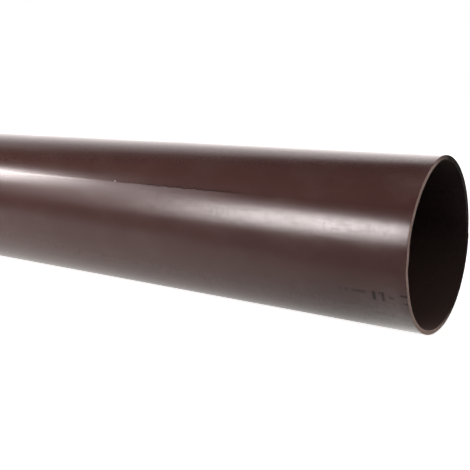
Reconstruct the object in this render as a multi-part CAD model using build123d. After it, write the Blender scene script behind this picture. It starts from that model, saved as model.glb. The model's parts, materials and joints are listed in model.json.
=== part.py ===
from build123d import *
import os

# One length of round rainwater downpipe, extruded in rigid PVC and sawn square at both ends.
# It lies along X, with the origin on its axis at mid-length, and +X leaves by the open mouth.
# All sizes are in millimetres.

outside_diameter = 80.0
wall = 2.0
stock_length = 1000.0
outer_edge_round = 0.3  # radius rubbed on to the outer edge of each cut
bore_edge_round = 0.25  # radius left on the inner edge where the burr is rubbed off

outer_radius = outside_diameter / 2
bore_radius = outer_radius - wall


def wall_ring():
    """The pipe's section: the ring that the extruder's die and pin leave between them."""
    return Plane.YZ * (Circle(outer_radius) - Circle(bore_radius))


def sawn_edges(tube, radius):
    """The circle of one radius at both cuts."""
    circles = tube.edges().filter_by(GeomType.CIRCLE)
    return circles.filter_by(lambda circle: abs(circle.radius - radius) < wall / 4)


def downpipe():
    tube = extrude(wall_ring(), amount=stock_length / 2, both=True)
    tube = fillet(sawn_edges(tube, outer_radius), radius=outer_edge_round)
    return fillet(sawn_edges(tube, bore_radius), radius=bore_edge_round)


os.makedirs("parts", exist_ok=True)
export_step(downpipe(), "parts/downpipe.step")
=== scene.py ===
import json
import math

import bpy
import numpy as np
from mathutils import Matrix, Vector


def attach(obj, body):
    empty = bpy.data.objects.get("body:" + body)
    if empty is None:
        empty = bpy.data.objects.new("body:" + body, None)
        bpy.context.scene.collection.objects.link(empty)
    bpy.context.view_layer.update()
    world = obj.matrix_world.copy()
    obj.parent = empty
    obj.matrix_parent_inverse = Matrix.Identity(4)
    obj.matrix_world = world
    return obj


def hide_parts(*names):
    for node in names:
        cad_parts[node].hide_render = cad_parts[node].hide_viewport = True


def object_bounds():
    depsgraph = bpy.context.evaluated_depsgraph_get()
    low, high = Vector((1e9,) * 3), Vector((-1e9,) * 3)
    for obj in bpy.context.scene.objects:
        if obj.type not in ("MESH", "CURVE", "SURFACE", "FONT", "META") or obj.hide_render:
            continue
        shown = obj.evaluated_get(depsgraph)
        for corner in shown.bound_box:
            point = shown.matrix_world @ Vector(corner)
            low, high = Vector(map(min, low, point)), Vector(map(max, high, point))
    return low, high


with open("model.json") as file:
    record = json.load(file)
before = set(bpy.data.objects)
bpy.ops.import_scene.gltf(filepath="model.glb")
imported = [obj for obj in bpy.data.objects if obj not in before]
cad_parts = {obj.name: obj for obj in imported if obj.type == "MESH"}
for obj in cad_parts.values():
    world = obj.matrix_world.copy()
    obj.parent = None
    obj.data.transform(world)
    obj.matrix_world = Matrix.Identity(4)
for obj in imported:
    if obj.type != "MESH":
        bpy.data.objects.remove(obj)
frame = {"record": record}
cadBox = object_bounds()
millimetre = 0.001


def colourOf(hexCode):
    parts = [int(hexCode[i : i + 2], 16) / 255 for i in (0, 2, 4)]
    return [c / 12.92 if c <= 0.04045 else ((c + 0.055) / 1.055) ** 2.4 for c in parts] + [1.0]


# settings are the node's own properties, links fill its sockets with a value, a node or a socket
def addNode(tree, kind, links=None, **settings):
    node = tree.nodes.new(kind)
    for name, value in settings.items():
        setattr(node, name, value)
    for name, value in (links or {}).items():
        if isinstance(value, bpy.types.Node):
            value = next(s for s in value.outputs if s.enabled)
        if isinstance(value, bpy.types.NodeSocket):
            tree.links.new(value, node.inputs[name])
        else:
            node.inputs[name].default_value = value
    return node


# a profile given as (where, how much) pairs, smooth between them
def addProfile(tree, value, points):
    places = [place for place, amount in points]
    amounts = [amount for place, amount in points]
    least, most = min(amounts), max(amounts)
    share = addNode(tree, "ShaderNodeMapRange", {"Value": value, 1: places[0], 2: places[-1]})
    curve = addNode(tree, "ShaderNodeFloatCurve", {"Value": share})
    line = curve.mapping.curves[0]
    while len(line.points) < len(points):
        line.points.new(0.5, 0.5)
    for point, (place, amount) in zip(line.points, points):
        across = (place - places[0]) / (places[-1] - places[0])
        point.location = (across, (amount - least) / (most - least))
    curve.mapping.update()
    return addNode(tree, "ShaderNodeMapRange", {"Value": curve, 3: least, 4: most})


def newMaterial(name):
    material = bpy.data.materials.new(name)
    material.use_nodes = True
    material.node_tree.nodes.clear()
    return material


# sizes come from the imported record, so the looks follow the frame
mounts = {m["name"]: m for m in frame["record"]["mounts"]}
outerRadius = mounts["spigot"]["dims"]["r_mm"] * millimetre
boreRadius = mounts["bore"]["dims"]["r_mm"] * millimetre
mouthX = mounts["mouth_end"]["pos_m"][0]
farX = mounts["far_end"]["pos_m"][0]


# the pipe

pipe = {
    "around": 512,  # facets round the pipe, half a millimetre each
    "along": 64,  # rings along each wall
    "outerBreak": 0.3,  # mm, radius rubbed on to the outer edge of a cut
    "boreBreak": 0.25,  # mm, radius left on the inner edge
    "edgeSteps": 6,  # facets across each of those
    "cutSteps": 3,  # rings across the sawn face
    "nearCut": [0.5, 1.2, 2.5, 5.0],  # mm, extra rings beside each cut
    "rippleHeight": 0.025,  # mm, slow waves left by the haul-off
    "rippleLength": 90.0,  # mm along the pipe
    "rippleWidth": 16.0,  # mm round it
    # degrees up from the front, and mm that the hand saw went in from the pipe's end, as the rim shows
    "cutShape": [(-180, 0.50), (-158, 0.10), (-124, 0.0), (-93, 0.35), (-60, 0.70), (-36, 0.80),
                 (-16, 0.65), (-6, 0.80), (2, 0.50), (12, 0.65), (30, 0.45), (57, 0.35), (75, 0.60),
                 (110, 1.0), (140, 0.85), (180, 0.50)],
    "cutWander": 0.15,  # mm, how far the saw strays from that
    "wanderScale": 1.1,  # waves of that for each radius
    "cutRough": 0.10,  # mm, raggedness of the sawn edge
    "roughSize": 1.3,  # mm
    "cutReach": (3.0, 0.4),  # mm from the end, where the wall starts to follow the cut and does so in full
    "endwise": 0.5,  # how far along the axis a face has to point to be a sawn one
    "seed": 7,
}


# half of the wall's section, mirrored to the other end: x along the pipe, r from its axis
def wallSection():
    half = (mouthX - farX) / 2
    outerBreak = pipe["outerBreak"] * millimetre
    boreBreak = pipe["boreBreak"] * millimetre
    nearCut = [d * millimetre for d in pipe["nearCut"]]
    walls = []
    for edge in (outerBreak, boreBreak):
        inset = half - edge - nearCut[-1]
        ends = [half - edge] + [half - edge - d for d in nearCut[:-1]]
        walls.append([-x for x in ends] + list(np.linspace(-inset, inset, pipe["along"])) + ends[::-1])
    turn = [math.pi / 2 * i / pipe["edgeSteps"] for i in range(1, pipe["edgeSteps"])]
    outerArc = [(half - outerBreak * (1 - math.sin(t)), outerRadius - outerBreak * (1 - math.cos(t)))
                for t in turn]
    boreArc = [(half - boreBreak * (1 - math.cos(t)), boreRadius + boreBreak * (1 - math.sin(t)))
               for t in turn]
    face = np.linspace(outerRadius - outerBreak, boreRadius + boreBreak, pipe["cutSteps"] + 1)
    mouth = outerArc + [(half, r) for r in face] + boreArc
    outer = [(x, outerRadius) for x in walls[0]]
    bore = [(x, boreRadius) for x in reversed(walls[1])]
    return outer + mouth + bore + [(-x, r) for x, r in reversed(mouth)]


def sectionObject():
    points = wallSection()
    mesh = bpy.data.meshes.new("downpipe")
    # the sweep turns its profile's first axis outwards and its second along the pipe
    places = [(r - outerRadius, x, 0.0) for x, r in points]
    mesh.from_pydata(places, [(i, (i + 1) % len(points)) for i in range(len(points))], [])
    thing = bpy.data.objects.new("downpipe_wall", mesh)
    bpy.context.collection.objects.link(thing)
    return thing


def pipeTree(skin, bore, cut):
    tree = bpy.data.node_groups.new("sweepPipe", "GeometryNodeTree")
    face = tree.interface
    face.new_socket(name="Section", in_out="INPUT", socket_type="NodeSocketGeometry")
    for name in ("Radius", "Half Length", "Ripple Height", "Ripple Length", "Ripple Width",
                 "Cut Depth", "Cut Wander", "Cut Rough"):
        face.new_socket(name=name, in_out="INPUT", socket_type="NodeSocketFloat")
    for name in ("Around", "Seed"):
        face.new_socket(name=name, in_out="INPUT", socket_type="NodeSocketInt")
    face.new_socket(name="Pipe", in_out="OUTPUT", socket_type="NodeSocketGeometry")
    given = addNode(tree, "NodeGroupInput").outputs

    ring = addNode(tree, "GeometryNodeCurvePrimitiveCircle",
                   {"Resolution": given["Around"], "Radius": given["Radius"]})
    section = addNode(tree, "GeometryNodeMeshToCurve", {"Mesh": given["Section"]})
    swept = addNode(tree, "GeometryNodeCurveToMesh", {"Curve": ring, "Profile Curve": section})
    lying = addNode(tree, "GeometryNodeTransform",
                    {"Geometry": swept, "Rotation": (0.0, math.pi / 2, 0.0)})

    # where a point is: outwards from the axis, along it, and its angle up from the front
    place = addNode(tree, "GeometryNodeInputPosition")
    split = addNode(tree, "ShaderNodeSeparateXYZ", {0: place})
    across = addNode(tree, "ShaderNodeVectorMath", {0: place, 1: (0.0, 1.0, 1.0)}, operation="MULTIPLY")
    outward = addNode(tree, "ShaderNodeVectorMath", {0: across}, operation="NORMALIZE")
    front = addNode(tree, "ShaderNodeMath", {0: split.outputs["Y"], 1: -1.0}, operation="MULTIPLY")
    angle = addNode(tree, "ShaderNodeMath", {0: split.outputs["Z"], 1: front}, operation="ARCTAN2")
    depth = addNode(tree, "ShaderNodeMath", {0: split.outputs["X"]}, operation="ABSOLUTE")
    side = addNode(tree, "ShaderNodeMath", {0: split.outputs["X"]}, operation="SIGN")

    # slow ripples, long in the direction of haul-off
    alongScale = addNode(tree, "ShaderNodeMath", {0: split.outputs["X"], 1: given["Ripple Length"]},
                         operation="DIVIDE")
    roundScale = addNode(tree, "ShaderNodeMath", {0: given["Radius"], 1: given["Ripple Width"]},
                         operation="DIVIDE")
    roundPlace = addNode(tree, "ShaderNodeVectorMath", {0: outward, "Scale": roundScale},
                         operation="SCALE")
    alongPlace = addNode(tree, "ShaderNodeCombineXYZ", {0: alongScale})
    ripplePlace = addNode(tree, "ShaderNodeVectorMath", {0: roundPlace, 1: alongPlace})
    ripple = addNode(tree, "ShaderNodeTexNoise", {"Vector": ripplePlace, "W": given["Seed"],
                                                  "Scale": 1.0, "Detail": 1.0}, noise_dimensions="4D")
    lift = addNode(tree, "ShaderNodeMapRange", {"Value": ripple, 3: -1.0, 4: 1.0})
    height = addNode(tree, "ShaderNodeMath", {0: lift, 1: given["Ripple Height"]}, operation="MULTIPLY")
    swell = addNode(tree, "ShaderNodeVectorMath", {0: outward, "Scale": height}, operation="SCALE")

    # the cut: the saw goes in by its profile, wanders a little and leaves a ragged edge
    fromEnd = addNode(tree, "ShaderNodeMath", {0: given["Half Length"], 1: depth}, operation="SUBTRACT")
    start, full = pipe["cutReach"]
    nearEnd = addNode(tree, "ShaderNodeMapRange",
                      {"Value": fromEnd, 1: start * millimetre, 2: full * millimetre},
                      interpolation_type="SMOOTHSTEP")
    endPlace = addNode(tree, "ShaderNodeCombineXYZ", {0: side})
    wanderPlace = addNode(tree, "ShaderNodeVectorMath", {0: outward, 1: endPlace})
    wander = addNode(tree, "ShaderNodeTexNoise",
                     {"Vector": wanderPlace, "W": given["Seed"], "Scale": pipe["wanderScale"],
                      "Detail": 1.0}, noise_dimensions="4D")
    raggedPlace = addNode(tree, "ShaderNodeVectorMath",
                          {0: place, "Scale": 1.0 / (pipe["roughSize"] * millimetre)},
                          operation="SCALE")
    ragged = addNode(tree, "ShaderNodeTexNoise", {"Vector": raggedPlace, "W": given["Seed"],
                                                  "Scale": 1.0, "Detail": 2.0}, noise_dimensions="4D")
    bite = addNode(tree, "ShaderNodeMath", {0: wander, 1: given["Cut Wander"]}, operation="MULTIPLY")
    cutShape = [(math.radians(degrees), inward) for degrees, inward in pipe["cutShape"]]
    sawn = addProfile(tree, angle, cutShape)
    bite = addNode(tree, "ShaderNodeMath", {0: sawn, 1: given["Cut Depth"], 2: bite},
                   operation="MULTIPLY_ADD")
    bite = addNode(tree, "ShaderNodeMath", {0: ragged, 1: given["Cut Rough"], 2: bite},
                   operation="MULTIPLY_ADD")
    bite = addNode(tree, "ShaderNodeMath", {0: bite, 1: nearEnd}, operation="MULTIPLY")
    lost = addNode(tree, "ShaderNodeMath", {0: bite, 1: side}, operation="MULTIPLY")
    cutShift = addNode(tree, "ShaderNodeCombineXYZ", {0: lost})
    shift = addNode(tree, "ShaderNodeVectorMath", {0: swell, 1: cutShift}, operation="SUBTRACT")
    shaped = addNode(tree, "GeometryNodeSetPosition", {"Geometry": lying, "Offset": shift})

    # each face takes the finish of the side it is on
    normal = addNode(tree, "GeometryNodeInputNormal")
    facing = addNode(tree, "ShaderNodeSeparateXYZ", {0: normal})
    endwise = addNode(tree, "ShaderNodeMath", {0: facing.outputs["X"]}, operation="ABSOLUTE")
    isCut = addNode(tree, "FunctionNodeCompare", {0: endwise, 1: pipe["endwise"]},
                    operation="GREATER_THAN")
    outness = addNode(tree, "ShaderNodeVectorMath", {0: normal, 1: outward}, operation="DOT_PRODUCT")
    isBore = addNode(tree, "FunctionNodeCompare", {0: outness.outputs["Value"], 1: 0.0},
                     operation="LESS_THAN")
    smooth = addNode(tree, "GeometryNodeSetShadeSmooth", {"Geometry": shaped, "Shade Smooth": True})
    whole = addNode(tree, "GeometryNodeRealizeInstances", {"Geometry": smooth})
    for chosen, finish in ((True, skin), (isBore, bore), (isCut, cut)):
        whole = addNode(tree, "GeometryNodeSetMaterial",
                        {"Geometry": whole, "Selection": chosen, "Material": finish})
    addNode(tree, "NodeGroupOutput", {"Pipe": whole})
    return tree


# runs a tree on an object, keeps the result as a plain mesh and drops the modifier
def meshFromNodes(thing, tree, values):
    modifier = thing.modifiers.new(tree.name, "NODES")
    modifier.node_group = tree
    for socket in tree.interface.items_tree:
        if socket.in_out == "INPUT" and socket.name in values:
            modifier[socket.identifier] = values[socket.name]
    graph = bpy.context.evaluated_depsgraph_get()
    mesh = bpy.data.meshes.new_from_object(thing.evaluated_get(graph))
    thing.modifiers.remove(modifier)
    thing.data = mesh
    return mesh


def readAll(items, name, width, kind=float):
    values = np.empty(len(items) * width, kind)
    items.foreach_get(name, values)
    return values.reshape(-1, width)


# the wall unrolled: length across the map, outside and bore as two bands, the cuts as thin ones
def unrollPipe(mesh):
    corner = readAll(mesh.loops, "vertex_index", 1, np.int32).ravel()
    sides = readAll(mesh.polygons, "loop_total", 1, np.int32).ravel()
    places = readAll(mesh.vertices, "co", 3)[corner]
    centres = np.repeat(readAll(mesh.polygons, "center", 3), sides, axis=0)
    normals = np.repeat(readAll(mesh.polygons, "normal", 3), sides, axis=0)
    turn = np.arctan2(places[:, 2], -places[:, 1])
    middle = np.arctan2(centres[:, 2], -centres[:, 1])
    turn = middle + (turn - middle + math.pi) % (2 * math.pi) - math.pi
    turn = turn / (2 * math.pi) + 0.5
    radius = np.hypot(places[:, 1], places[:, 2])
    length = (places[:, 0] - farX) / (mouthX - farX)
    isCut = np.abs(normals[:, 0]) > pipe["endwise"]
    isBore = (normals[:, 1] * centres[:, 1] + normals[:, 2] * centres[:, 2]) < 0
    # bands of the map, from the bottom: two cuts, the bore, the outside
    margin, cutBand, wallBand = 0.004, 0.02, 0.46
    u = margin + (1 - 2 * margin) * length
    v = margin + 2 * cutBand + turn * (wallBand - 2 * margin)
    v = np.where(isBore, v, v + wallBand)
    ring = (radius - boreRadius) / (outerRadius - boreRadius)
    cutV = margin + ring * (cutBand - 2 * margin) + np.where(centres[:, 0] > 0, cutBand, 0.0)
    u = np.where(isCut, margin + (1 - 2 * margin) * turn, u)
    v = np.where(isCut, cutV, v)
    layer = mesh.uv_layers.new(name="OFBake")
    layer.uv.foreach_set("vector", np.stack([u, v], axis=1).ravel())


# PVC-U, dark brown, extruded: a low even gloss, fine lines along it from the die, a little dust
# a Size of two numbers is the grain of a noise in mm, round the pipe and along it, and a Shown gives the
# values of that noise where a patch starts and is full
skinLook = {
    "brown": "3E2927",
    "redBrown": "422C29",
    "ink": "1E1715",
    # dust colour, also used for the painted highlight on the die line's crest
    "dustAndLight": "A79B95",
    "roughness": 0.21,
    "roughnessSpread": (-0.015, 0.02),  # what the mottle takes from it or adds
    "dustRoughness": 0.5,
    "ior": 1.53,
    "specular": 0.565,
    "specularLost": 0.5,  # under a full smear
    "mottleSize": (26.0, 26.0),
    "mottleShown": (0.3, 0.7),
    "bandSize": (9.0, 500.0),
    "toneShown": (0.75, 1.25),  # of the sum of mottle and bands
    "lineSize": (1.1, 160.0),  # real die lines are finer, drawn this coarse to show
    "lineHeight": 0.004,  # mm
    "peelSize": (2.4, 4.8),  # faint orange peel
    "peelHeight": 0.003,  # mm
    "scratchSize": (1.0, 22.0),
    "scratchShown": (0.74, 0.80),
    "scratchDepth": 0.0004,  # mm
    "scratchRoughness": 0.02,
    "hazeSize": (14.0, 21.0),  # handling marks, most towards the ends
    "hazeShown": (0.48, 0.72),
    "hazeReach": 70.0,  # mm
    "hazeShare": (0.02, 0.07),  # all over, and at the sawn end
    "smearSize": (3.0, 1.2),  # dull patches where it was handled
    "smearShown": (0.42, 0.72),
    "smear": 0.34,  # share of the gloss that they hide
    "streakSize": (0.7, 9.0),
    "streakShown": (0.55, 0.75),
    "streak": 0.30,
    "endRub": (7.0, 1.0, 0.33),  # mm in from the end where the rubbing starts and is full, and its share
    "speckSpacing": 74.0,  # mm between specks of dust
    "speckShare": 0.35,
    "speckSize": 0.5,  # mm
    "speckEdge": (1.2, 0.6),  # sizes from its middle where a speck starts and is full
    "speckDust": 0.6,
    "lonelySpeck": (336.6, 31.9),  # mm along, degrees up from the front
    "lonelyEdge": (0.55, 0.3),  # mm from its middle
}
boreLook = {
    **skinLook,
    "brown": "352C2A",
    "redBrown": "3A2F2D",
    "roughness": 0.34,
    # dust colour, also used as painted light on the bottom of the bore
    "dustAndLight": "7A625A",
    "bottomDustAndLight": 0.8,
    "bottomDustAndLightFrom": (0.1, -0.9),  # upward share of the outward direction where the dust and painted light on the bottom start, and are full
}

# one die line: a low ridge the length of the pipe, its crest ragged, with a painted highlight on the crest
# in places and painted shade on it in others
dieLine = {
    "angle": 31.2,  # degrees up from the front
    "ridgeWidth": 2.2,  # mm from the crest to its foot
    "ridgeHeight": 0.035,
    "crestWidth": 0.8,
    "crestHeight": 0.020,
    "crestLeast": 0.25,  # share of the crest's height and raggedness where the ridge is low
    "ragSize": (400.0, 3.2),  # mm, so long round the pipe that it changes along it alone
    "rag": 3.0,  # mm
    # mm along the pipe, with shares there of the ridge's height, a painted highlight on the crest and
    # painted shade on the crest
    "grown": [(-500, 0.3), (180, 0.2), (225, 0.05), (300, 0.1), (330, 0.3), (352, 0.9), (395, 1.0),
              (430, 0.3), (500, 0.3)],
    "paintedGlint": [(-500, 0.0), (190, 0.0), (212, 0.55), (285, 0.55), (345, 0.0), (500, 0.0)],
    "rubbed": [(-500, 0.1), (340, 0.1), (364, 0.62), (398, 0.62), (425, 0.1), (500, 0.1)],
    "sleek": 0.06,  # how much smoother the wall is beside it
    "sleekWidth": 4.0,  # mm
}

# ink from the marking wheel, worn: plain dots, dashes and ticks, again every half metre
printedLine = {
    "angle": -24.5,  # degrees up from the front
    "start": 468.0,  # mm along the pipe
    "pitch": 500.0,
    # mm from the start, mm up from the middle, and the share of ink left
    "marks": [(0.0, 1.4, 0.2, 1.7, 0.4), (2.9, 4.3, 0.2, 1.7, 0.4), (5.9, 12.4, 0.3, 1.5, 0.5),
              (15.4, 16.8, -2.5, 2.0, 0.9), (18.4, 20.0, 1.0, 2.0, 0.8), (19.6, 20.9, -2.5, 2.0, 0.9),
              (22.9, 25.2, -0.9, 0.2, 0.7), (27.8, 31.0, 1.1, 2.1, 0.7), (28.8, 31.2, -3.0, -2.0, 0.7)],
    "softEdge": 0.35,  # mm
    "mattness": 0.6,
    "wearSize": (2.2, 2.2),  # mm
    "wearShown": (0.3, 0.45),
    "wornLeast": 0.5,  # share of the ink left where it is most worn
}


# the share of ink at each place along the pipe and up from the line's middle, each mark a soft-edged oblong
def printedInk(tree, along, up, wear):
    along = addNode(tree, "ShaderNodeMath", {0: along, 1: printedLine["start"]}, operation="SUBTRACT")
    along = addNode(tree, "ShaderNodeMath", {0: along, 1: printedLine["pitch"]},
                    operation="FLOORED_MODULO")
    spot = addNode(tree, "ShaderNodeCombineXYZ", {0: along, 1: up})
    ink = 0.0
    for start, end, low, high, share in printedLine["marks"]:
        middle = ((start + end) / 2, (low + high) / 2, 0.0)
        away = addNode(tree, "ShaderNodeVectorMath", {0: spot, 1: middle}, operation="SUBTRACT")
        away = addNode(tree, "ShaderNodeVectorMath", {0: away}, operation="ABSOLUTE")
        halves = ((end - start) / 2, (high - low) / 2, 0.0)
        beyond = addNode(tree, "ShaderNodeVectorMath", {0: away, 1: halves}, operation="SUBTRACT")
        beyond = addNode(tree, "ShaderNodeSeparateXYZ", {0: beyond})
        edge = addNode(tree, "ShaderNodeMath", {0: beyond.outputs["X"], 1: beyond.outputs["Y"]},
                       operation="MAXIMUM")
        mark = addNode(tree, "ShaderNodeMapRange", {"Value": edge, 1: printedLine["softEdge"],
                                                    2: -printedLine["softEdge"], 4: share})
        ink = addNode(tree, "ShaderNodeMath", {0: mark, 1: ink}, operation="MAXIMUM")
    return addNode(tree, "ShaderNodeMath", {0: ink, 1: wear}, operation="MULTIPLY")


def wallMaterial(name, look, isOutside):
    material = newMaterial(name)
    tree = material.node_tree
    coords = addNode(tree, "ShaderNodeTexCoord")
    place = addNode(tree, "ShaderNodeVectorMath", {0: coords.outputs["Object"], "Scale": 1 / millimetre},
                    operation="SCALE")
    split = addNode(tree, "ShaderNodeSeparateXYZ", {0: place})
    across = addNode(tree, "ShaderNodeVectorMath", {0: place, 1: (0.0, 1.0, 1.0)}, operation="MULTIPLY")
    outward = addNode(tree, "ShaderNodeVectorMath", {0: across}, operation="NORMALIZE")
    front = addNode(tree, "ShaderNodeMath", {0: split.outputs["Y"], 1: -1.0}, operation="MULTIPLY")
    angle = addNode(tree, "ShaderNodeMath", {0: split.outputs["Z"], 1: front}, operation="ARCTAN2")

    # a noise with its grain given in millimetres round the pipe and along it
    def grain(size, detail, seed):
        around, along = size
        roundPart = addNode(tree, "ShaderNodeVectorMath",
                            {0: outward, "Scale": outerRadius / millimetre / around}, operation="SCALE")
        alongPart = addNode(tree, "ShaderNodeMath", {0: split.outputs["X"], 1: along},
                            operation="DIVIDE")
        alongPlace = addNode(tree, "ShaderNodeCombineXYZ", {0: alongPart})
        where = addNode(tree, "ShaderNodeVectorMath", {0: roundPart, 1: alongPlace})
        return addNode(tree, "ShaderNodeTexNoise", {"Vector": where, "W": seed, "Scale": 1.0,
                                                    "Detail": detail}, noise_dimensions="4D")

    # patches of such a noise
    def patches(size, shown, detail, seed, share=1.0, least=0.0):
        noise = grain(size, detail, seed)
        start, full = shown
        return addNode(tree, "ShaderNodeMapRange", {"Value": noise, 1: start, 2: full, 3: least, 4: share})

    # millimetres round the pipe from a line at the given angle
    def arcFrom(degrees):
        return addNode(tree, "ShaderNodeMath", {0: angle, 1: outerRadius / millimetre,
                                                2: -math.radians(degrees) * outerRadius / millimetre},
                       operation="MULTIPLY_ADD")

    mottle = grain(look["mottleSize"], detail=4.0, seed=4.0)
    bands = grain(look["bandSize"], detail=2.0, seed=2.0)
    tone = addNode(tree, "ShaderNodeMath", {0: bands, 1: mottle}, operation="ADD")
    start, full = look["toneShown"]
    tone = addNode(tree, "ShaderNodeMapRange", {"Value": tone, 1: start, 2: full})
    colour = addNode(tree, "ShaderNodeMix", {0: tone, "A": colourOf(look["brown"]),
                                             "B": colourOf(look["redBrown"])}, data_type="RGBA")

    # dust and handling haze, thickest towards the sawn ends
    depth = addNode(tree, "ShaderNodeMath", {0: split.outputs["X"]}, operation="ABSOLUTE")
    halfLength = (mouthX - farX) / 2 / millimetre
    least, most = look["hazeShare"]
    nearEnd = addNode(tree, "ShaderNodeMapRange", {"Value": depth, 1: halfLength - look["hazeReach"],
                                                   2: halfLength, 3: least, 4: most})
    haze = patches(look["hazeSize"], look["hazeShown"], detail=5.0, seed=6.0)
    haze = addNode(tree, "ShaderNodeMath", {0: haze, 1: nearEnd}, operation="MULTIPLY")
    speckPlace = addNode(tree, "ShaderNodeCombineXYZ", {0: split.outputs["X"], 1: arcFrom(0.0)})
    specks = addNode(tree, "ShaderNodeTexVoronoi",
                     {"Vector": speckPlace, "Scale": 1 / look["speckSpacing"]}, voronoi_dimensions="2D")
    start, full = [size * look["speckSize"] / look["speckSpacing"] for size in look["speckEdge"]]
    speck = addNode(tree, "ShaderNodeMapRange", {"Value": specks.outputs["Distance"],
                                                 1: start, 2: full, 4: look["speckDust"]})
    chance = addNode(tree, "ShaderNodeSeparateColor", {0: specks.outputs["Color"]})
    kept = addNode(tree, "ShaderNodeMath", {0: chance.outputs["Red"], 1: look["speckShare"]},
                   operation="LESS_THAN")
    speck = addNode(tree, "ShaderNodeMath", {0: speck, 1: kept}, operation="MULTIPLY")
    if isOutside:
        alongTo, angleTo = look["lonelySpeck"]
        away = addNode(tree, "ShaderNodeVectorMath",
                       {0: speckPlace, 1: (alongTo, math.radians(angleTo) * outerRadius / millimetre, 0.0)},
                       operation="DISTANCE")
        start, full = look["lonelyEdge"]
        lonely = addNode(tree, "ShaderNodeMapRange", {"Value": away.outputs["Value"], 1: start, 2: full})
        speck = addNode(tree, "ShaderNodeMath", {0: speck, 1: lonely}, operation="MAXIMUM")
    dustAndLight = addNode(tree, "ShaderNodeMath", {0: haze, 1: speck}, operation="MAXIMUM")
    # paler towards the bottom of the bore: dust lying there, and painted light from above
    if not isOutside:
        facing = addNode(tree, "ShaderNodeSeparateXYZ", {0: outward})
        start, full = look["bottomDustAndLightFrom"]
        lying = addNode(tree, "ShaderNodeMapRange", {"Value": facing.outputs["Z"], 1: start, 2: full,
                                                     4: look["bottomDustAndLight"]})
        dustAndLight = addNode(tree, "ShaderNodeMath", {0: dustAndLight, 1: lying}, operation="MAXIMUM")
    colour = addNode(tree, "ShaderNodeMix", {0: dustAndLight, "A": colour, "B": colourOf(look["dustAndLight"])},
                     data_type="RGBA")

    # what stands out of the wall or is cut into it, in millimetres
    lines = grain(look["lineSize"], detail=3.0, seed=1.0)
    peel = grain(look["peelSize"], detail=1.0, seed=5.0)
    scratches = patches(look["scratchSize"], look["scratchShown"], detail=0.0, seed=3.0)
    heights = addNode(tree, "ShaderNodeMath", {0: lines, 1: look["lineHeight"]}, operation="MULTIPLY")
    heights = addNode(tree, "ShaderNodeMath", {0: peel, 1: look["peelHeight"], 2: heights},
                      operation="MULTIPLY_ADD")
    heights = addNode(tree, "ShaderNodeMath", {0: scratches, 1: -look["scratchDepth"], 2: heights},
                      operation="MULTIPLY_ADD")

    if isOutside:
        # the die line: its ridge, the ragged crest on that, and the painted highlight and painted shade on
        # the crest
        fromLine = arcFrom(dieLine["angle"])
        beside = addNode(tree, "ShaderNodeMath", {0: fromLine}, operation="ABSOLUTE")
        ridge = addNode(tree, "ShaderNodeMapRange", {"Value": beside, 1: dieLine["ridgeWidth"], 2: 0.0},
                        interpolation_type="SMOOTHSTEP")
        grown = addProfile(tree, split.outputs["X"], dieLine["grown"])
        ridge = addNode(tree, "ShaderNodeMath", {0: ridge, 1: grown}, operation="MULTIPLY")
        heights = addNode(tree, "ShaderNodeMath", {0: ridge, 1: dieLine["ridgeHeight"], 2: heights},
                          operation="MULTIPLY_ADD")
        rag = grain(dieLine["ragSize"], detail=3.0, seed=8.0)
        rag = addNode(tree, "ShaderNodeMath", {0: rag, 1: 0.5}, operation="SUBTRACT")
        grown = addNode(tree, "ShaderNodeMath", {0: grown, 1: dieLine["crestLeast"]}, operation="MAXIMUM")
        rag = addNode(tree, "ShaderNodeMath", {0: rag, 1: grown}, operation="MULTIPLY")
        crest = addNode(tree, "ShaderNodeMath", {0: rag, 1: dieLine["rag"], 2: fromLine},
                        operation="MULTIPLY_ADD")
        crest = addNode(tree, "ShaderNodeMath", {0: crest}, operation="ABSOLUTE")
        crest = addNode(tree, "ShaderNodeMapRange", {"Value": crest, 1: dieLine["crestWidth"], 2: 0.0},
                        interpolation_type="SMOOTHSTEP")
        raised = addNode(tree, "ShaderNodeMath", {0: crest, 1: grown}, operation="MULTIPLY")
        heights = addNode(tree, "ShaderNodeMath", {0: raised, 1: dieLine["crestHeight"], 2: heights},
                          operation="MULTIPLY_ADD")
        # a painted highlight along the crest, in the pale dust colour
        paintedGlint = addProfile(tree, split.outputs["X"], dieLine["paintedGlint"])
        paintedGlint = addNode(tree, "ShaderNodeMath", {0: crest, 1: paintedGlint}, operation="MULTIPLY")
        colour = addNode(tree, "ShaderNodeMix", {0: paintedGlint, "A": colour, "B": colourOf(look["dustAndLight"])},
                         data_type="RGBA")
        # painted shade along the crest, in the ink colour
        rubbed = addProfile(tree, split.outputs["X"], dieLine["rubbed"])
        shade = addNode(tree, "ShaderNodeMath", {0: crest, 1: rubbed}, operation="MULTIPLY")
        colour = addNode(tree, "ShaderNodeMix", {0: shade, "A": colour, "B": colourOf(look["ink"])},
                         data_type="RGBA")

        # the printed line
        wear = patches(printedLine["wearSize"], printedLine["wearShown"], detail=3.0, seed=10.0,
                       least=printedLine["wornLeast"])
        ink = printedInk(tree, split.outputs["X"], arcFrom(printedLine["angle"]), wear)
        colour = addNode(tree, "ShaderNodeMix", {0: ink, "A": colour, "B": colourOf(look["ink"])},
                         data_type="RGBA")

    # roughness
    less, more = look["roughnessSpread"]
    start, full = look["mottleShown"]
    rough = addNode(tree, "ShaderNodeMapRange", {"Value": mottle, 1: start, 2: full,
                                                 3: look["roughness"] + less,
                                                 4: look["roughness"] + more})
    rough = addNode(tree, "ShaderNodeMath", {0: dustAndLight, 1: look["dustRoughness"], 2: rough},
                    operation="MULTIPLY_ADD")
    if isOutside:
        sleek = addNode(tree, "ShaderNodeMapRange", {"Value": beside, 1: dieLine["sleekWidth"], 2: 0.0,
                                                     4: dieLine["sleek"]},
                        interpolation_type="SMOOTHSTEP")
        rough = addNode(tree, "ShaderNodeMath", {0: rough, 1: sleek}, operation="SUBTRACT")
    rough = addNode(tree, "ShaderNodeMath", {0: scratches, 1: look["scratchRoughness"], 2: rough},
                    operation="MULTIPLY_ADD")

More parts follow.
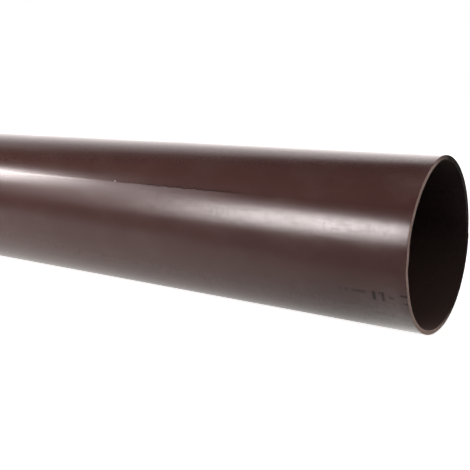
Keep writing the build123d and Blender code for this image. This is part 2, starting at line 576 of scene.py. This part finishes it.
    # the share of the gloss that smears, streaks, ink and the rubbed end hide
    smear = patches(look["smearSize"], look["smearShown"], detail=2.0, seed=11.0, share=look["smear"])
    streak = patches(look["streakSize"], look["streakShown"], detail=1.0, seed=12.0, share=look["streak"])
    hidden = addNode(tree, "ShaderNodeMath", {0: smear, 1: streak}, operation="ADD")
    if isOutside:
        hidden = addNode(tree, "ShaderNodeMath", {0: ink, 1: printedLine["mattness"], 2: hidden},
                         operation="MULTIPLY_ADD")
        start, full, share = look["endRub"]
        rubbedEnd = addNode(tree, "ShaderNodeMapRange", {"Value": depth, 1: halfLength - start,
                                                         2: halfLength - full, 4: share})
        hidden = addNode(tree, "ShaderNodeMath", {0: hidden, 1: rubbedEnd}, operation="ADD")
    specular = addNode(tree, "ShaderNodeMath",
                       {0: hidden, 1: -look["specularLost"], 2: look["specular"]},
                       operation="MULTIPLY_ADD")
    bump = addNode(tree, "ShaderNodeBump", {"Strength": 1.0, "Distance": millimetre,
                                            "Height": heights})
    shader = addNode(tree, "ShaderNodeBsdfPrincipled",
                     {"Base Color": colour, "Roughness": rough, "IOR": look["ior"],
                      "Specular IOR Level": specular, "Normal": bump})
    addNode(tree, "ShaderNodeOutputMaterial", {"Surface": shader})
    return material


# sawn PVC-U: whitened by the saw to a dry tan where the photo shows it, made brighter as painted light, and
# dark on the far side as painted shade
cutLook = {
    "shadedFace": "1F1816",  # painted shade: the face away from the tan
    # the saw's whitening, made brighter as painted light
    "tan": "F0D2C4",
    "darkTan": "CDB0A4",
    "litSide": -12.0,  # degrees up from the front, the middle of the tan, the side that the painted shade leaves lit
    "litFrom": (-0.35, 0.20),  # cosine of the angle from there where the tan starts and is full, and the painted shade ends
    "roughness": 0.85,
    "ior": 1.53,
    "specular": (0.03, 0.7),  # of the painted-shade face, kept almost without gloss so that it stays dark, and of the tan
    "toothSpacing": 0.35,  # mm between the marks of two teeth
    "toothShown": (0.3, 0.7),
    "toothHeight": 0.02,  # mm
}


def cutMaterial(look):
    material = newMaterial("sawnPvc")
    tree = material.node_tree
    coords = addNode(tree, "ShaderNodeTexCoord")
    place = addNode(tree, "ShaderNodeVectorMath",
                    {0: coords.outputs["Object"], "Scale": 1 / (look["toothSpacing"] * millimetre)},
                    operation="SCALE")
    teeth = addNode(tree, "ShaderNodeTexNoise", {"Vector": place, "Scale": 1.0, "Detail": 2.0})
    start, full = look["toothShown"]
    shade = addNode(tree, "ShaderNodeMapRange", {"Value": teeth, 1: start, 2: full})
    tan = addNode(tree, "ShaderNodeMix",
                  {0: shade, "A": colourOf(look["darkTan"]), "B": colourOf(look["tan"])},
                  data_type="RGBA")
    across = addNode(tree, "ShaderNodeVectorMath", {0: coords.outputs["Object"], 1: (0.0, 1.0, 1.0)},
                     operation="MULTIPLY")
    outward = addNode(tree, "ShaderNodeVectorMath", {0: across}, operation="NORMALIZE")
    side = math.radians(look["litSide"])
    nearSide = addNode(tree, "ShaderNodeVectorMath",
                       {0: outward, 1: (0.0, -math.cos(side), math.sin(side))}, operation="DOT_PRODUCT")
    # painted shade: the face is tan on the side towards the front and turns dark away from it, by direction
    # alone
    start, full = look["litFrom"]
    rubbed = addNode(tree, "ShaderNodeMapRange", {"Value": nearSide.outputs["Value"], 1: start, 2: full})
    colour = addNode(tree, "ShaderNodeMix", {0: rubbed, "A": colourOf(look["shadedFace"]), "B": tan},
                     data_type="RGBA")
    ofShadedFace, ofTan = look["specular"]
    specular = addNode(tree, "ShaderNodeMapRange", {"Value": rubbed, 3: ofShadedFace, 4: ofTan})
    bump = addNode(tree, "ShaderNodeBump", {"Strength": 1.0, "Distance": look["toothHeight"] * millimetre,
                                            "Height": teeth})
    shader = addNode(tree, "ShaderNodeBsdfPrincipled",
                     {"Base Color": colour, "Roughness": look["roughness"], "IOR": look["ior"],
                      "Specular IOR Level": specular, "Normal": bump})
    addNode(tree, "ShaderNodeOutputMaterial", {"Surface": shader})
    return material


def buildPipe():
    skin = wallMaterial("extrudedPvc", skinLook, True)
    bore = wallMaterial("extrudedPvcBore", boreLook, False)
    tree = pipeTree(skin, bore, cutMaterial(cutLook))
    thing = sectionObject()
    values = {
        "Radius": outerRadius,
        "Half Length": (mouthX - farX) / 2,
        "Ripple Height": pipe["rippleHeight"] * millimetre,
        "Ripple Length": pipe["rippleLength"] * millimetre,
        "Ripple Width": pipe["rippleWidth"] * millimetre,
        "Cut Depth": millimetre,
        "Cut Wander": pipe["cutWander"] * millimetre,
        "Cut Rough": pipe["cutRough"] * millimetre,
        "Around": pipe["around"],
        "Seed": pipe["seed"],
    }
    mesh = meshFromNodes(thing, tree, values)
    mesh.name = "downpipe_wall"
    unrollPipe(mesh)
    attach(thing, "root")
    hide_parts("downpipe")
    return thing


wall = buildPipe()
print("pipe", len(wall.data.polygons), "faces", [m.name for m in wall.data.materials])

# the studio

studio = {
    "floorHalf": 12.0,  # m
    "floorColour": "F6F5F3",
    "floorFill": 0.84,  # what the camera sees on top of the floor's own light
    "underGlow": 1.2,  # what the floor under the pipe throws up at its matt part
    "glowEdge": (-0.065, -0.035),  # m, the Y where that starts and is full
    "glowFades": (0.38, 0.50),  # m, the X where it fades and ends
    "mouthShade": (0.25, 0.53, 0.97),  # m along, where the floor stops throwing light back, and how much
    # what the pipe mirrors of the floor: bright close by, dark towards the camera
    "mirrorColour": "FFFCF8",
    "mirrorNear": 0.78,
    "mirrorFar": 0.21,
    "mirrorEdge": (0.042, 0.142),  # m in front of the pipe
    "mirrorSlant": (0.352, 0.41),  # how the edge runs off, and the x where it meets the axis
    "mirrorBehind": 3.0,  # gain for each metre behind the edge
    "mirrorMouth": (0.453, 0.573, 3.0),  # m along, where the floor grows brighter, and its gain
    "mirrorMouthEnds": 0.05,  # m past the edge, over which that gain is lost
    "lamps": {
        # from the pipe: azimuth and height in degrees, then width, height and distance in metres,
        # and how much of the width or height fades at the left, right, bottom and top
        "softboxRight": {"from": (0.44, -0.04, 0.01), "azimuth": -114.53, "rise": 17.67,
                         "size": (1.480, 1.109), "distance": 2.0, "radiance": 26.2,
                         "colour": "FFF7F6", "fade": (0.472, 0.769, 0.580, 0.260)},
        "softboxLeft": {"from": (0.25, -0.03, 0.02), "azimuth": -152.92, "rise": 26.99,
                        "size": (0.680, 0.581), "distance": 2.0, "radiance": 15.6,
                        "colour": "FFF7F6", "fade": (0.384, 0.523, 0.327, 0.253)},
        "panelBetween": {"from": (0.34, -0.04, 0.015), "azimuth": -147.07, "rise": 20.99,
                         "size": (1.60, 1.50), "distance": 2.05, "radiance": 2.78,
                         "colour": "FFF4F3", "fade": (0.373, 0.02, 0.899, 0.265)},
        # close by at the left, and for the matt part alone
        "fillLeft": {"from": (0.25, -0.03, 0.02), "azimuth": -125.5, "rise": 36.3,
                     "size": (0.30, 0.30), "distance": 0.64, "radiance": 7.2, "matt": True,
                     "colour": "FFF7F6", "fade": (0.05, 0.05, 0.05, 0.05)},
    },
}


def addLamp(name, spec):
    turn, rise = math.radians(spec["azimuth"]), math.radians(spec["rise"])
    way = Vector((math.cos(rise) * math.cos(turn), math.cos(rise) * math.sin(turn), math.sin(rise)))
    data = bpy.data.lights.new(name, "AREA")
    data.shape = "RECTANGLE"
    data.size, data.size_y = spec["size"]
    data.energy = spec["radiance"] * data.size * data.size_y * math.pi  # W, for that radiance
    data.color = colourOf(spec["colour"])[:3]
    # a softbox is brightest in its middle
    data.use_nodes = True
    tree = data.node_tree
    tree.nodes.clear()
    spot = addNode(tree, "ShaderNodeNewGeometry")
    split = addNode(tree, "ShaderNodeSeparateXYZ", {0: spot.outputs["Parametric"]})
    left, right, bottom, top = spec["fade"]
    glow = 1.0
    for axis, start, end in (("X", 0.0, left), ("X", 1.0, 1.0 - right),
                             ("Y", 0.0, bottom), ("Y", 1.0, 1.0 - top)):
        edge = addNode(tree, "ShaderNodeMapRange", {"Value": split.outputs[axis], 1: start, 2: end},
                       interpolation_type="SMOOTHSTEP")
        glow = addNode(tree, "ShaderNodeMath", {0: edge, 1: glow}, operation="MULTIPLY")
    shine = addNode(tree, "ShaderNodeEmission", {"Strength": glow})
    addNode(tree, "ShaderNodeOutputLight", {"Surface": shine})
    lamp = bpy.data.objects.new(name, data)
    lamp.location = Vector(spec["from"]) + way * spec["distance"]
    lamp.rotation_euler = (-way).to_track_quat("-Z", "Y").to_euler()
    lamp.visible_camera = False
    lamp.visible_glossy = not spec.get("matt", False)
    bpy.context.collection.objects.link(lamp)


def floorMaterial():
    material = newMaterial("paleFloor")
    tree = material.node_tree
    rays = addNode(tree, "ShaderNodeLightPath")
    coords = addNode(tree, "ShaderNodeTexCoord")
    split = addNode(tree, "ShaderNodeSeparateXYZ", {0: coords.outputs["Object"]})
    # mirrored in the pipe, the bright sheet it lies on ends a hand's breadth in front
    slant, origin = studio["mirrorSlant"]
    near, far = studio["mirrorEdge"]
    reach = addNode(tree, "ShaderNodeMath", {0: split.outputs["X"], 1: slant, 2: -slant * origin},
                    operation="MULTIPLY_ADD")
    reach = addNode(tree, "ShaderNodeMath", {0: reach, 1: split.outputs["Y"]}, operation="SUBTRACT")
    sheet = addNode(tree, "ShaderNodeMapRange", {"Value": reach, 1: near, 2: far,
                                                 3: studio["mirrorNear"], 4: studio["mirrorFar"]},
                    interpolation_type="SMOOTHSTEP")
    further = addNode(tree, "ShaderNodeMapRange", {"Value": reach, 1: 0.0, 2: -1.0, 3: 1.0,
                                                   4: 1.0 + studio["mirrorBehind"]})
    sheet = addNode(tree, "ShaderNodeMath", {0: sheet, 1: further}, operation="MULTIPLY")
    start, end, gain = studio["mirrorMouth"]
    bright = addNode(tree, "ShaderNodeMapRange", {"Value": split.outputs["X"], 1: start, 2: end, 4: gain},
                     interpolation_type="SMOOTHSTEP")
    inside = addNode(tree, "ShaderNodeMapRange",
                     {"Value": reach, 1: far + studio["mirrorMouthEnds"], 2: far})
    bright = addNode(tree, "ShaderNodeMath", {0: bright, 1: inside, 2: 1.0}, operation="MULTIPLY_ADD")
    sheet = addNode(tree, "ShaderNodeMath", {0: sheet, 1: bright}, operation="MULTIPLY")
    # past the mouth the floor throws back little light, so the bore stays dark
    start, end, share = studio["mouthShade"]
    shaded = addNode(tree, "ShaderNodeMapRange", {"Value": split.outputs["X"], 1: start, 2: end, 4: share})
    shaded = addNode(tree, "ShaderNodeMath", {0: shaded, 1: rays.outputs["Is Diffuse Ray"]},
                     operation="MULTIPLY")
    own = addNode(tree, "ShaderNodeMath", {0: 1.0, 1: rays.outputs["Is Glossy Ray"]},
                  operation="SUBTRACT")
    own = addNode(tree, "ShaderNodeMath", {0: own, 1: shaded}, operation="SUBTRACT")
    colour = addNode(tree, "ShaderNodeVectorMath",
                     {0: colourOf(studio["floorColour"])[:3], "Scale": own}, operation="SCALE")
    diffuse = addNode(tree, "ShaderNodeBsdfDiffuse", {"Color": colour})
    seen = addNode(tree, "ShaderNodeMath", {0: rays.outputs["Is Camera Ray"],
                                            1: rays.outputs["Is Transmission Ray"]},
                   operation="MAXIMUM")
    fill = addNode(tree, "ShaderNodeMath", {0: seen, 1: studio["floorFill"]}, operation="MULTIPLY")
    start, full = studio["glowEdge"]
    under = addNode(tree, "ShaderNodeMapRange", {"Value": split.outputs["Y"], 1: start, 2: full},
                    interpolation_type="SMOOTHSTEP")
    thrown = addNode(tree, "ShaderNodeMath", {0: rays.outputs["Is Diffuse Ray"], 1: under},
                     operation="MULTIPLY")
    start, end = studio["glowFades"]
    glowing = addNode(tree, "ShaderNodeMapRange", {"Value": split.outputs["X"], 1: end, 2: start,
                                                   4: studio["underGlow"]})
    fill = addNode(tree, "ShaderNodeMath", {0: thrown, 1: glowing, 2: fill}, operation="MULTIPLY_ADD")
    fill = addNode(tree, "ShaderNodeMath", {0: rays.outputs["Is Glossy Ray"], 1: sheet, 2: fill},
                   operation="MULTIPLY_ADD")
    tint = addNode(tree, "ShaderNodeMix", {0: rays.outputs["Is Glossy Ray"], "A": colourOf("FFFFFF"),
                                           "B": colourOf(studio["mirrorColour"])}, data_type="RGBA")
    glow = addNode(tree, "ShaderNodeEmission", {"Color": tint, "Strength": fill})
    both = addNode(tree, "ShaderNodeAddShader", {0: diffuse, 1: glow})
    addNode(tree, "ShaderNodeOutputMaterial", {"Surface": both})
    return material


def buildFloor():
    half = studio["floorHalf"]
    level = cadBox[0].z
    mesh = bpy.data.meshes.new("floor")
    corners = [(-half, -half, level), (half, -half, level), (half, half, level), (-half, half, level)]
    mesh.from_pydata(corners, [], [(0, 1, 2, 3)])
    mesh.materials.append(floorMaterial())
    floor = bpy.data.objects.new("floor", mesh)
    bpy.context.collection.objects.link(floor)


# directions are shares of a ray of length one: X along the pipe, Y away from the camera, Z up
surround = {
    "colour": "FFF7F6",
    "white": 2.36,  # of the backdrop behind the pipe, as the pipe mirrors it
    "fall": 0.75,  # and how much of that is lost higher up
    "behind": (0.02, 0.25),  # Y where the backdrop starts and is full
    "edge": (0.21, 1.52),  # height over distance: where it starts to fade, and over how much
    "slant": (0.78, -0.507),  # and what both gain to the left, for each step over distance
    "leftmost": 4.0,  # steps over distance where that stops
    "mouth": (-0.60, -0.36),  # X where the mouth's part of the backdrop starts and is full
    "mouthEdge": (0.358, -1.0),  # what it adds to where the fade starts, and to its width
    "mouthGain": 0.289,
    "hardest": 0.05,  # least width of the fade
    "dim": 0.028,  # what is mirrored of the rest of the room
    # soft light that only the matt part shows: where it starts and is full, and how strong it is
    "above": (0.3, 0.8, 0.20),
    "sideways": (0.8, -0.6, 0.0),  # the way to the right, as the camera sees it
    "sides": [(0.1, -0.4, 0.22), (0.5, 0.9, 0.15)],  # from the left, and from where the mouth faces
    "back": 0.7,  # from the backdrop
    "backTop": (0.35, 0.65),  # Z where that starts to fade and ends
    "backRight": (0.0, 0.4),  # X where it does
}


# white behind the pipe up to a low edge, dark over the camera, white to the camera itself
def buildWorld():
    world = bpy.data.worlds.new("studioSurround")
    bpy.context.scene.world = world
    world.use_nodes = True
    tree = world.node_tree
    tree.nodes.clear()
    rays = addNode(tree, "ShaderNodeLightPath")
    coords = addNode(tree, "ShaderNodeTexCoord")
    split = addNode(tree, "ShaderNodeSeparateXYZ", {0: coords.outputs["Generated"]})
    start, full = surround["behind"]
    behind = addNode(tree, "ShaderNodeMapRange", {"Value": split.outputs["Y"], 1: start, 2: full},
                     interpolation_type="SMOOTHSTEP")
    # slopes over distance, which is kept above nothing
    away = addNode(tree, "ShaderNodeMath", {0: split.outputs["Y"], 1: 0.001}, operation="MAXIMUM")
    rise = addNode(tree, "ShaderNodeMath", {0: split.outputs["Z"], 1: away}, operation="DIVIDE")
    aside = addNode(tree, "ShaderNodeMath", {0: split.outputs["X"], 1: away}, operation="DIVIDE")
    leftmost = surround["leftmost"]
    aside = addNode(tree, "ShaderNodeMapRange", {"Value": aside, 1: 0.0, 2: -leftmost, 4: leftmost})
    # towards the mouth the backdrop is brighter and ends harder
    start, full = surround["mouth"]
    near = addNode(tree, "ShaderNodeMapRange", {"Value": split.outputs["X"], 1: start, 2: full},
                   interpolation_type="SMOOTHSTEP")
    fade = []
    for edge, slant, mouth in zip(surround["edge"], surround["slant"], surround["mouthEdge"]):
        part = addNode(tree, "ShaderNodeMath", {0: aside, 1: slant, 2: edge}, operation="MULTIPLY_ADD")
        fade.append(addNode(tree, "ShaderNodeMath", {0: near, 1: mouth, 2: part}, operation="MULTIPLY_ADD"))
    start, width = fade
    width = addNode(tree, "ShaderNodeMath", {0: width, 1: surround["hardest"]}, operation="MAXIMUM")
    end = addNode(tree, "ShaderNodeMath", {0: start, 1: width}, operation="ADD")
    low = addNode(tree, "ShaderNodeMapRange", {"Value": rise, 1: start, 2: end, 3: 1.0, 4: 0.0},
                  interpolation_type="SMOOTHSTEP")
    fall = addNode(tree, "ShaderNodeMapRange", {"Value": rise, 1: 0.0, 2: surround["edge"][1],
                                                3: surround["white"],
                                                4: surround["white"] * (1 - surround["fall"])})
    gain = addNode(tree, "ShaderNodeMath", {0: near, 1: surround["mouthGain"], 2: 1.0},
                   operation="MULTIPLY_ADD")
    fall = addNode(tree, "ShaderNodeMath", {0: fall, 1: gain}, operation="MULTIPLY")
    sweep = addNode(tree, "ShaderNodeMath", {0: behind, 1: low}, operation="MULTIPLY")
    mirrored = addNode(tree, "ShaderNodeMix", {0: sweep, 2: surround["dim"], 3: fall},
                       data_type="FLOAT")
    # soft light for the matt part: from above, from both sides and from behind
    start, full, strength = surround["above"]
    above = addNode(tree, "ShaderNodeMapRange", {"Value": split.outputs["Z"], 1: start, 2: full},
                    interpolation_type="SMOOTHSTEP")
    soft = addNode(tree, "ShaderNodeMath", {0: above, 1: strength}, operation="MULTIPLY")
    side = addNode(tree, "ShaderNodeVectorMath",
                   {0: coords.outputs["Generated"], 1: surround["sideways"]}, operation="DOT_PRODUCT")
    for start, full, strength in surround["sides"]:
        part = addNode(tree, "ShaderNodeMapRange", {"Value": side.outputs["Value"], 1: start, 2: full},
                       interpolation_type="SMOOTHSTEP")
        soft = addNode(tree, "ShaderNodeMath", {0: part, 1: strength, 2: soft},
                       operation="MULTIPLY_ADD")
    start, end = surround["backTop"]
    back = addNode(tree, "ShaderNodeMapRange", {"Value": split.outputs["Z"], 1: start, 2: end,
                                                3: surround["back"], 4: 0.0})
    start, end = surround["backRight"]
    left = addNode(tree, "ShaderNodeMapRange", {"Value": split.outputs["X"], 1: start, 2: end,
                                                3: 1.0, 4: 0.0}, interpolation_type="SMOOTHSTEP")
    back = addNode(tree, "ShaderNodeMath", {0: back, 1: left}, operation="MULTIPLY")
    soft = addNode(tree, "ShaderNodeMath", {0: back, 1: behind, 2: soft}, operation="MULTIPLY_ADD")
    strength = addNode(tree, "ShaderNodeMix", {0: rays.outputs["Is Diffuse Ray"], 2: mirrored, 3: soft},
                       data_type="FLOAT")
    strength = addNode(tree, "ShaderNodeMix", {0: rays.outputs["Is Camera Ray"], 2: strength, 3: 1.0},
                       data_type="FLOAT")
    colour = addNode(tree, "ShaderNodeMix",
                     {0: rays.outputs["Is Camera Ray"], "A": colourOf(surround["colour"]),
                      "B": colourOf("FFFFFF")}, data_type="RGBA")
    light = addNode(tree, "ShaderNodeBackground", {"Color": colour, "Strength": strength})
    addNode(tree, "ShaderNodeOutputWorld", {"Surface": light})


buildFloor()
buildWorld()
for name, spec in studio["lamps"].items():
    addLamp(name, spec)
print("studio")

# the photograph's view, fitted to the pipe's two outlines and to its mouth
camera = {
    "place": (0.10567, -0.3190, 0.06744),  # m from the centre of the mouth
    "down": 10.96,  # degrees
    "turn": 34.17,
    "focal": 746.1,  # in widths of a pixel of the 470-pixel frame
    "frameWidth": 470,
}


def buildCamera():
    data = bpy.data.cameras.new("view")
    data.sensor_width = 36.0
    data.lens = data.sensor_width * camera["focal"] / camera["frameWidth"]
    eye = bpy.data.objects.new("view", data)
    eye.location = Vector((mouthX, 0, 0)) + Vector(camera["place"])
    eye.rotation_euler = (math.radians(90 - camera["down"]), 0, math.radians(camera["turn"]))
    data.clip_start = 0.01
    bpy.context.collection.objects.link(eye)
    bpy.context.scene.camera = eye


buildCamera()
bpy.context.scene.view_settings.view_transform = "Standard"
print("camera")
